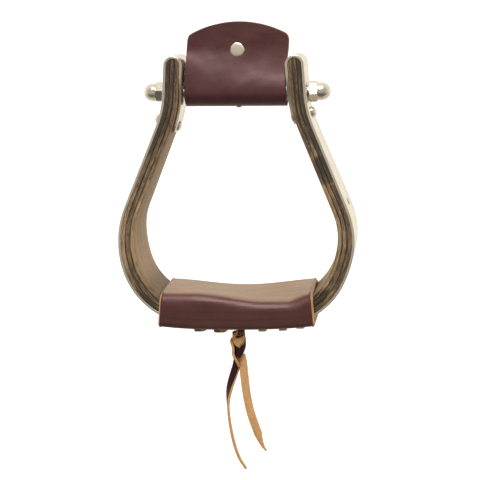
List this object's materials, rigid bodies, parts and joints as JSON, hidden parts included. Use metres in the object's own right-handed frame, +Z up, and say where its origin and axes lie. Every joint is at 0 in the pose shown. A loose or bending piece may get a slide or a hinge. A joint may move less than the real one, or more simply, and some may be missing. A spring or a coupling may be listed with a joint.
{
  "type": "western stirrup",
  "caption": "Bell-shaped Western stirrup: bent laminated wood bow bound in metal, leather-covered bolt with a flap, leather tread laced underneath with a hanging knot and tails.",
  "frame": {"origin": "middle of the bolt that hangs the stirrup", "axes": "+X along the bolt, +Z up, -Y is the front, the side with the tread's glossy front edge and the flap rivet's cap"},
  "size_m": [0.1667, 0.0508, 0.3218],
  "materials": {
    "outer_wood": "stained laminate, satin, dark glue lines",
    "middle_wood": "stained laminate, satin, dark glue lines",
    "inner_wood": "stained laminate, satin, open grain",
    "binding_metal": "polished sheet metal strap, cut edges",
    "bolt_steel": "plated bolt and tube",
    "nut_metal": "polished nickel plate",
    "rivet_metal": "polished domed heads",
    "cover_rivet_metal": "flat plated rivet",
    "cover_leather": "maroon grain leather, soft sheen, raw edges",
    "tread_leather": "maroon grain leather, soft sheen, raw tan edges",
    "lace_leather": "flat thong, tan flesh side and dark grain side"
  },
  "bodies": {
    "bow": {"outer_ply": "outer_wood", "middle_ply": "middle_wood", "inner_ply": "inner_wood", "metal_binding": "binding_metal", "stirrup_bolt": "bolt_steel", "spacer_tube": "bolt_steel", "cap_nut_left": "nut_metal", "cap_nut_right": "nut_metal", "leg_rivet_left": "rivet_metal", "leg_rivet_right": "rivet_metal", "binding_nail_left": "rivet_metal", "binding_nail_right": "rivet_metal", "tread_cover_leather": "tread_leather", "lace_stitch_1": "lace_leather", "lace_stitch_2": "lace_leather", "lace_stitch_3": "lace_leather", "lace_stitch_4": "lace_leather", "lace_stitch_5": "lace_leather", "lace_loop": "lace_leather"},
    "bolt_cover": {"bolt_cover_leather": "cover_leather", "cover_rivet_cap": "cover_rivet_metal", "cover_rivet_post": "cover_rivet_metal", "cover_tack": "cover_rivet_metal"},
    "lace_tassel": {"lace_knot": "lace_leather", "lace_tail_left": "lace_leather", "lace_tail_right": "lace_leather"}
  },
  "joints": [
    {"name": "bolt_cover_turn", "type": "hinge", "parent": "bow", "child": "bolt_cover", "pos_m": [0, 0, 0], "axis": [1, 0, 0], "continuous": true},
    {"name": "tassel_swing", "type": "hinge", "parent": "bow", "child": "lace_tassel", "pos_m": [0, -0.012, -0.1699], "axis": [1, 0, 0], "range_deg": [-60, 60]}
  ]
}
